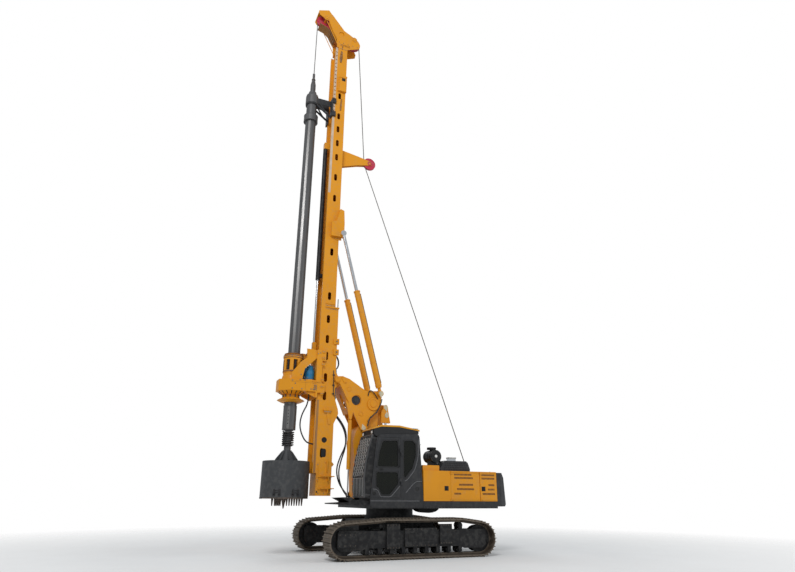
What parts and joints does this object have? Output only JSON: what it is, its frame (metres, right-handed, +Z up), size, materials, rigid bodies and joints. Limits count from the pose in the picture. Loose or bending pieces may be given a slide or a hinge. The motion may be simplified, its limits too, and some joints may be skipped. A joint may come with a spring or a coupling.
{
  "type": "rotary drilling rig",
  "caption": "Crawler rotary drilling rig: slewing house with cab, parallelogram boom, tall tilting mast, crowd cylinder, rotary drive, telescopic kelly bar and drilling bucket",
  "frame": {"origin": "Centre of the bounding box's footprint, on the ground under the tracks", "axes": "+X forward, where the mast and the drilling tool stand; +Y to the operator's left, the cab's side; +Z up along the mast"},
  "size_m": [7.632, 4.2, 20.545],
  "materials": {
    "yellow_paint": "gloss machine paint",
    "dark_grey_paint": "satin paint",
    "black_paint": "satin paint",
    "worn_steel": "worn, dusty",
    "bare_steel": "scratched",
    "chrome_rod": "polished",
    "sheave_red": "worn cast nylon",
    "cab_glazing": "tinted",
    "amber_guard": "gloss machine paint",
    "motor_blue": "gloss paint",
    "hose_rubber": "matt",
    "seat_fabric": "woven"
  },
  "bodies": {
    "undercarriage": {"carbody": "black_paint", "slew_ring": "worn_steel"},
    "left_crawler": {"side_frame_left": "black_paint", "track_left": "worn_steel", "running_wheels_left": "worn_steel"},
    "right_crawler": {"side_frame_right": "black_paint", "track_right": "worn_steel", "running_wheels_right": "worn_steel"},
    "upper_structure": {"upper_frame": "black_paint", "counterweight": "dark_grey_paint", "housing_left": "yellow_paint", "housing_right": "yellow_paint", "fluid_tank": "yellow_paint", "engine_block": "black_paint", "engine_hood": "dark_grey_paint", "exhaust_stack": "chrome_rod", "air_cleaner": "black_paint", "cab_shell": "dark_grey_paint", "cab_glass": "cab_glazing", "cab_front_guard": "black_paint", "cab_roof_guard": "amber_guard", "operator_seat": "seat_fabric", "mast_hose_outer": "hose_rubber", "mast_hose_inner": "hose_rubber"},
    "winch": {"winch_drum": "dark_grey_paint"},
    "cab_entry_door": {"cab_door": "dark_grey_paint", "cab_door_glass": "cab_glazing"},
    "front_left_door": {"front_door_left": "yellow_paint"},
    "rear_left_door": {"rear_door_left": "yellow_paint"},
    "front_right_door": {"front_door_right": "yellow_paint"},
    "rear_right_door": {"rear_door_right": "yellow_paint"},
    "boom_link": {"boom": "yellow_paint"},
    "support_link": {"support_arm": "yellow_paint"},
    "triangle": {"triangle_frame": "yellow_paint"},
    "boom_cylinder_barrels": {"boom_cylinder_tubes": "black_paint"},
    "boom_cylinder_pistons": {"boom_cylinder_rods": "chrome_rod", "boom_cylinder_heads": "yellow_paint"},
    "mast_cylinder_barrels": {"mast_cylinder_tubes": "yellow_paint"},
    "mast_cylinder_pistons": {"mast_cylinder_rods": "chrome_rod"},
    "levelling_barrel": {"levelling_cylinder_tube": "yellow_paint"},
    "levelling_piston": {"levelling_cylinder_rod": "chrome_rod"},
    "mast": {"mast_lower": "yellow_paint", "mast_upper": "yellow_paint", "mast_head": "yellow_paint", "crowd_cylinder_tube": "black_paint", "drive_hose": "hose_rubber"},
    "front_head_sheave": {"head_sheave_front": "sheave_red"},
    "rear_head_sheave": {"head_sheave_rear": "sheave_red"},
    "deflector": {"deflector_sheave": "sheave_red"},
    "carriage": {"drive_carriage": "yellow_paint", "drive_gearbox": "yellow_paint", "drive_motors": "motor_blue", "crowd_cylinder_rod": "chrome_rod"},
    "rotary_sleeve": {"drive_sleeve": "yellow_paint", "drive_springs": "black_paint"},
    "kelly_guide_frame": {"kelly_guide": "dark_grey_paint"},
    "kelly_outer_tube": {"kelly_outer": "bare_steel"},
    "kelly_inner_bar": {"kelly_inner": "bare_steel", "bucket": "bare_steel"},
    "bucket_bottom_gate": {"bucket_gate": "bare_steel"}
  },
  "joints": [
    {"name": "track_gauge_left", "type": "slide", "parent": "undercarriage", "child": "left_crawler", "axis": [0, 1, 0], "range_m": [-0.6, 0]},
    {"name": "track_gauge_right", "type": "slide", "parent": "undercarriage", "child": "right_crawler", "axis": [0, -1, 0], "range_m": [-0.6, 0]},
    {"name": "slew", "type": "hinge", "parent": "undercarriage", "child": "upper_structure", "pos_m": [-0.316, 0, 1.3], "axis": [0, 0, 1], "continuous": true},
    {"name": "winch_turn", "type": "hinge", "parent": "upper_structure", "child": "winch", "pos_m": [-2.986, 0, 2.06], "axis": [0, 1, 0], "continuous": true},
    {"name": "cab_door_hinge", "type": "hinge", "parent": "upper_structure", "child": "cab_entry_door", "pos_m": [-0.058, 1.53, 2.06], "axis": [0, 0, 1], "range_deg": [0, 150]},
    {"name": "front_door_left_hinge", "type": "hinge", "parent": "upper_structure", "child": "front_left_door", "pos_m": [-1.744, 1.516, 1.548], "axis": [0, 0, -1], "range_deg": [0, 110]},
    {"name": "rear_door_left_hinge", "type": "hinge", "parent": "upper_structure", "child": "rear_left_door", "pos_m": [-2.799, 1.516, 1.548], "axis": [0, 0, -1], "range_deg": [0, 110]},
    {"name": "front_door_right_hinge", "type": "hinge", "parent": "upper_structure", "child": "front_right_door", "pos_m": [-1.744, -1.516, 1.548], "axis": [0, 0, 1], "range_deg": [0, 110]},
    {"name": "rear_door_right_hinge", "type": "hinge", "parent": "upper_structure", "child": "rear_right_door", "pos_m": [-2.799, -1.516, 1.548], "axis": [0, 0, 1], "range_deg": [0, 110]},
    {"name": "boom_luff", "type": "hinge", "parent": "upper_structure", "child": "boom_link", "pos_m": [0.534, 0, 2.41], "axis": [0, 1, 0], "range_deg": [-4, 30], "deforming": ["mast_hose_outer", "mast_hose_inner"]},
    {"name": "triangle_level", "type": "hinge", "parent": "boom_link", "child": "triangle", "pos_m": [0.484, 0, 4.46], "axis": [0, 1, 0], "range_deg": [-30, 4]},
    {"name": "support_arm_swing", "type": "hinge", "parent": "upper_structure", "child": "support_link", "pos_m": [0.844, 0, 1.64], "axis": [0, 1, 0], "range_deg": [-4, 30]},
    {"name": "boom_cylinder_swing", "type": "hinge", "parent": "upper_structure", "child": "boom_cylinder_barrels", "pos_m": [-0.116, 0, 1.75], "axis": [0, 1, 0], "range_deg": [-3.36, 22]},
    {"name": "boom_cylinder_stroke", "type": "slide", "parent": "boom_cylinder_barrels", "child": "boom_cylinder_pistons", "axis": [0.049, 0, 0.9988], "range_m": [-0.0386, 0.2532]},
    {"name": "mast_tilt", "type": "hinge", "parent": "triangle", "child": "mast", "pos_m": [1.724, 0, 5.18], "axis": [0, 1, 0], "range_deg": [-90, 5], "deforming": ["mast_hose_outer", "mast_hose_inner"]},
    {"name": "mast_cylinder_swing", "type": "hinge", "parent": "triangle", "child": "mast_cylinder_barrels", "pos_m": [0.264, 0, 4.81], "axis": [0, 1, 0], "range_deg": [-99.36, 6.01]},
    {"name": "mast_cylinder_stroke", "type": "slide", "parent": "mast_cylinder_barrels", "child": "mast_cylinder_pistons", "axis": [0.2609, 0, 0.9654], "range_m": [-2.0172, 0.1221]},
    {"name": "levelling_swing", "type": "hinge", "parent": "triangle", "child": "levelling_barrel", "pos_m": [1.244, 0, 3.98], "axis": [0, 1, 0], "range_deg": [-4.05, 26.53]},
    {"name": "levelling_stroke", "type": "slide", "parent": "levelling_barrel", "child": "levelling_piston", "axis": [0, 0, -1], "range_m": [-0.0122, 0.0019]},
    {"name": "front_head_sheave_turn", "type": "hinge", "parent": "mast", "child": "front_head_sheave", "pos_m": [2.804, 0, 20.1], "axis": [0, 1, 0], "continuous": true},
    {"name": "rear_head_sheave_turn", "type": "hinge", "parent": "mast", "child": "rear_head_sheave", "pos_m": [1.574, 0, 19.42], "axis": [0, 1, 0], "continuous": true},
    {"name": "deflector_sheave_turn", "type": "hinge", "parent": "mast", "child": "deflector", "pos_m": [0.684, 0, 13.8], "axis": [0, 1, 0], "continuous": true},
    {"name": "crowd", "type": "slide", "parent": "mast", "child": "carriage", "axis": [0, 0, 1], "range_m": [-1.35, 2.1], "deforming": ["drive_hose"]},
    {"name": "drive_turn", "type": "hinge", "parent": "carriage", "child": "rotary_sleeve", "pos_m": [3.104, 0, 4.46], "axis": [0, 0, 1], "continuous": true},
    {"name": "kelly_lift", "type": "slide", "parent": "mast", "child": "kelly_guide_frame", "axis": [0, 0, 1], "range_m": [-9, 0.25]},
    {"name": "kelly_turn", "type": "hinge", "parent": "kelly_guide_frame", "child": "kelly_outer_tube", "pos_m": [3.104, 0, 15.85], "axis": [0, 0, 1], "continuous": true},
    {"name": "kelly_telescope", "type": "slide", "parent": "kelly_outer_tube", "child": "kelly_inner_bar", "axis": [0, 0, 1], "range_m": [-10, 0]},
    {"name": "bucket_gate_hinge", "type": "hinge", "parent": "kelly_inner_bar", "child": "bucket_bottom_gate", "pos_m": [3.791, 0, 1.58], "axis": [0, -1, 0], "range_deg": [0, 75]}
  ],
  "couplings": [
    {"joint": "triangle_level", "follows": "boom_luff", "ratio": -1},
    {"joint": "support_arm_swing", "follows": "boom_luff", "ratio": 1},
    {"joint": "boom_cylinder_swing", "follows": "boom_luff", "ratio": 0.71706},
    {"joint": "boom_cylinder_stroke", "follows": "boom_luff", "m_per_rad": 0.47294},
    {"joint": "levelling_swing", "follows": "boom_luff", "ratio": 0.86487},
    {"joint": "levelling_stroke", "follows": "boom_luff", "m_per_rad": -0.02287},
    {"joint": "mast_cylinder_swing", "follows": "mast_tilt", "ratio": 1.0982},
    {"joint": "mast_cylinder_stroke", "follows": "mast_tilt", "m_per_rad": 1.2774},
    {"joint": "kelly_turn", "follows": "drive_turn", "ratio": 1}
  ]
}
